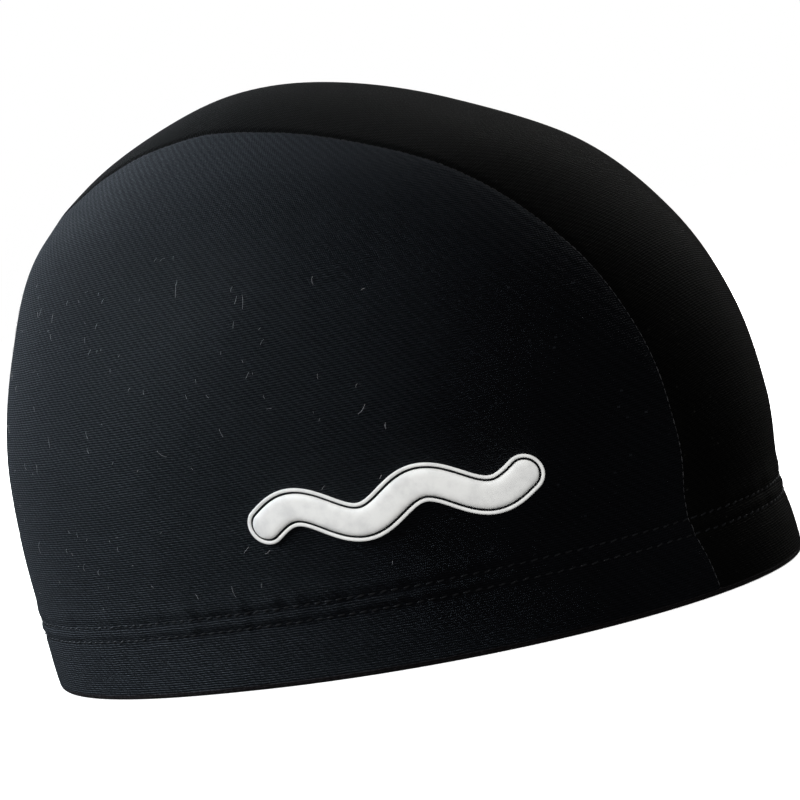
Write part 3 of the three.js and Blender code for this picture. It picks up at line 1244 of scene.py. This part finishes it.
@dataclass
class Lint:
    """Short pale fibres that cling to the near side's knit."""

    pattern: Pattern
    count: int = 140
    radius: float = 0.03 * MM

    def build(self, finish: bpy.types.Material) -> None:
        """Builds and dresses the fibres as one piece.

        Args:
            finish: The fibres' finish.
        """
        form = self.pattern.form
        draw = random.Random(SEED + 2)
        points, faces = [], []
        for _ in range(self.count):
            angle = draw.uniform(1.14, 1.68) * math.pi
            height = draw.uniform(23, 104) * MM
            length = 0.5 * MM + draw.expovariate(1.0) * 0.8 * MM
            length = min(length, 3.4 * MM)
            lean = draw.gauss(1.25, 0.65)
            bow = draw.uniform(-0.6, 0.6)
            base = form.points(np.array([form.rise_at(height)]), np.array([angle]))[0]
            out = form.normals(base[None])[0]
            base = self.pattern.sewn(base[None])[0]
            level = np.cross([0, 0, 1.0], out)
            level /= np.linalg.norm(level)
            upward = np.cross(out, level)
            first = len(points)
            for step in range(5):
                share = step / 4 - 0.5
                turn = lean + bow * share
                along = math.cos(turn) * level + math.sin(turn) * upward
                spot = base + along * share * length + out * (0.1 * MM + 0.12 * MM * (1 - 4 * share ** 2))
                aside = np.cross(out, along)
                for corner in range(3):
                    spin = 2 * math.pi * corner / 3
                    points.append(spot + self.radius * (math.cos(spin) * aside + math.sin(spin) * out))
            for step in range(4):
                for corner in range(3):
                    a = first + step * 3 + corner
                    b = first + step * 3 + (corner + 1) % 3
                    faces.append((a, b, b + 3, a + 3))
            faces.append((first, first + 2, first + 1))
            faces.append((first + 12, first + 13, first + 14))
        piece = mesh_of_copies("lint_fibres", np.array(points), faces, [Matrix.Identity(4)])
        select_only(piece)
        bpy.ops.object.mode_set(mode="EDIT")
        bpy.ops.mesh.select_all(action="SELECT")
        bpy.ops.mesh.normals_make_consistent(inside=False)
        bpy.ops.object.mode_set(mode="OBJECT")
        finish_piece(piece, finish)


# Studio

@dataclass
class Studio:
    """A plain pale floor, soft light and the camera."""

    target: tuple = (6.4 * MM, 0.0, 54.0 * MM)
    distance: float = 550 * MM
    azimuth: float = 30.0
    elevation: float = 4.0
    roll: float = 12.65
    pixels_per_metre: float = 3941.0
    picture_width: int = 800
    light_distance: float = 1.7
    ambient: float = 0.03
    floor_glow: float = 0.62

    def axes(self) -> tuple:
        """Works out the camera's axes.

        Returns:
            Its right, up and back directions.
        """
        a, e, r = (math.radians(v) for v in (self.azimuth, self.elevation, self.roll))
        back = Vector((math.sin(a) * math.cos(e), -math.cos(a) * math.cos(e), math.sin(e)))
        level = Vector((math.cos(a), math.sin(a), 0.0))
        upward = back.cross(level)
        right = level * math.cos(r) - upward * math.sin(r)
        return right, level * math.sin(r) + upward * math.cos(r), back

    def camera(self) -> None:
        """Sets up the camera at the photograph's angle."""
        right, upward, back = self.axes()
        data = bpy.data.cameras.new("camera")
        data.sensor_width = 36.0
        data.lens = self.pixels_per_metre * self.distance * data.sensor_width / self.picture_width
        data.clip_start, data.clip_end = 0.02, 100.0
        eye = bpy.data.objects.new("camera", data)
        eye.matrix_world = pose(right, upward, back, Vector(self.target) + back * self.distance)
        bpy.context.scene.collection.objects.link(eye)
        bpy.context.scene.camera = eye

    def softbox(
        self, name: str, azimuth: float, elevation: float, size: float, watts: float, lustre: bool,
        colour: tuple = (1.0, 1.0, 1.0),
    ) -> None:
        """Adds a square soft light that faces the cap.

        Args:
            name: The light's name.
            azimuth: Where it stands round the cap, counted as the camera's is, in degrees.
            elevation: How high it stands, in degrees.
            size: The length of its sides in metres.
            watts: Its power.
            lustre: Whether it shows as gloss, or only brightens.
            colour: The light's colour.
        """
        a, e = math.radians(azimuth), math.radians(elevation)
        toward = Vector((math.sin(a) * math.cos(e), -math.cos(a) * math.cos(e), math.sin(e)))
        data = bpy.data.lights.new(name, "AREA")
        data.shape = "SQUARE"
        data.size = size
        data.energy = watts
        data.color = colour
        light = bpy.data.objects.new(name, data)
        light.location = Vector(self.target) + toward * self.light_distance
        light.rotation_euler = toward.to_track_quat("Z", "Y").to_euler()
        light.visible_glossy = lustre
        bpy.context.scene.collection.objects.link(light)

    def floor(self) -> None:
        """Lays the pale floor that the rim stands on. It throws no light back at the dark cloth."""
        bpy.ops.object.select_all(action="DESELECT")
        bpy.ops.mesh.primitive_plane_add(size=40)
        ground = bpy.context.active_object
        ground.name = "floor"
        material, links, shader, place = new_material("floor_paper")
        soft = links.noise(place, 3.0, 3.0, 0.5)
        links.put(links.mix(soft, (0.86, 0.86, 0.86, 1), (0.90, 0.90, 0.90, 1)), shader.inputs["Base Color"])
        shader.inputs["Roughness"].default_value = 0.9
        shader.inputs["Specular IOR Level"].default_value = 0.1
        away = links.node("ShaderNodeVectorMath", operation="LENGTH")
        links.put(place, away.inputs[0])
        glow = links.ramp(away.outputs["Value"], 0.25, 0.9)
        near = (self.floor_glow, self.floor_glow, self.floor_glow, 1.0)
        links.put(links.mix(glow, near, WHITE), shader.inputs["Emission Color"])
        shader.inputs["Emission Strength"].default_value = 1.0
        ground.data.materials.append(material)
        ground.visible_diffuse = False
        ground.visible_glossy = False

    def world(self) -> None:
        """Sets the white surroundings, which the eye sees brighter than the cloth does."""
        world = bpy.data.worlds.new("surroundings")
        world.use_nodes = True
        links = Links(world.node_tree)
        sky = world.node_tree.nodes["Background"]
        sky.inputs["Color"].default_value = WHITE
        path = links.node("ShaderNodeLightPath")
        strength = links.node("ShaderNodeMapRange")
        strength.inputs["To Min"].default_value = self.ambient
        strength.inputs["To Max"].default_value = 1.0
        links.put(path.outputs["Is Camera Ray"], strength.inputs["Value"])
        links.put(strength.outputs["Result"], sky.inputs["Strength"])
        bpy.context.scene.world = world

    def build(self) -> None:
        """Builds the whole studio."""
        self.camera()
        self.floor()
        self.world()
        self.softbox("key", 289, 36, 1.0, 24, lustre=True, colour=(0.78, 0.88, 1.0))
        self.softbox("front_fill", 17, 26, 1.0, 30, lustre=False)
        self.softbox("far_left_gloss", 231, 33, 0.8, 2.5, lustre=True, colour=(0.78, 0.88, 1.0))
        self.softbox("far_right_gloss", 165, 30, 0.8, 2.5, lustre=True)
        self.softbox("far_left_fill", 240, 28, 1.0, 50, lustre=False)
        self.softbox("far_right_fill", 172, 28, 1.0, 50, lustre=False)
        bpy.context.scene.view_settings.view_transform = "Standard"


def main() -> None:
    """Dresses the cap and sets the studio round it."""
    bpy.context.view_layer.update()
    low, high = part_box("crown_panel")
    side_low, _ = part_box("right_side_panel")
    _, side_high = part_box("left_side_panel")
    form = HeadForm(length=high[0] - low[0], width=side_high[1] - side_low[1], height=high[2])
    pattern = Pattern(form)
    log.info("form %.1f x %.1f x %.1f mm", form.length / MM, form.width / MM, form.height / MM)

    knit = knit_group()
    # Each knit's third colour is the colour of its painted glints.
    side_knit = KnitFinish(
        "side_knit_cloth", (0.0004, 0.0004, 0.0006), (0.0022, 0.0022, 0.0029), (0.011, 0.012, 0.014),
        roughness=0.6, sheen=0.015, sheen_tint=(0.62, 0.7, 0.85), specular=0.5, lustre=(0.82, 0.92, 1.0),
    ).make(knit)
    crown_knit = KnitFinish(
        "crown_knit_cloth", (0.0005, 0.0005, 0.0005), (0.002, 0.002, 0.0019), (0.012, 0.012, 0.011),
        roughness=0.66, sheen=0.012, sheen_tint=(0.8, 0.8, 0.76), specular=0.06, lustre=(1.0, 0.98, 0.84),
        bump=0.6,
    ).make(knit)
    hem_knit = KnitFinish(
        "hem_knit_cloth", (0.0016, 0.0014, 0.0015), (0.006, 0.0053, 0.0056), (0.02, 0.018, 0.018),
        roughness=0.62, sheen=0.03, sheen_tint=(0.8, 0.78, 0.78), specular=0.4, lustre=(1.0, 0.84, 0.92),
    ).make(knit)
    needle_thread = ThreadFinish(
        "needle_thread", (0.006, 0.0063, 0.0072), roughness=0.36, specular=0.8,
    ).make()
    seam_thread = ThreadFinish("seam_thread", (0.036, 0.036, 0.038), roughness=0.5, specular=0.3).make()
    ink = InkFinish("raised_ink").make()
    fibre = ThreadFinish("pale_fibre", (0.54, 0.55, 0.56), roughness=0.6).make()

    SewnPanels(pattern).build(side_knit, crown_knit)
    TurnedHem(pattern).build(hem_knit)
    HemStitches(pattern).build(needle_thread)
    SeamStitches(pattern).build(seam_thread)
    wave = WavePrint(pattern)
    wave.build_band(ink)
    wave.build_line(ink)
    Lint(pattern).build(fibre)
    Studio().build()


if __name__ == "__main__":
    main()
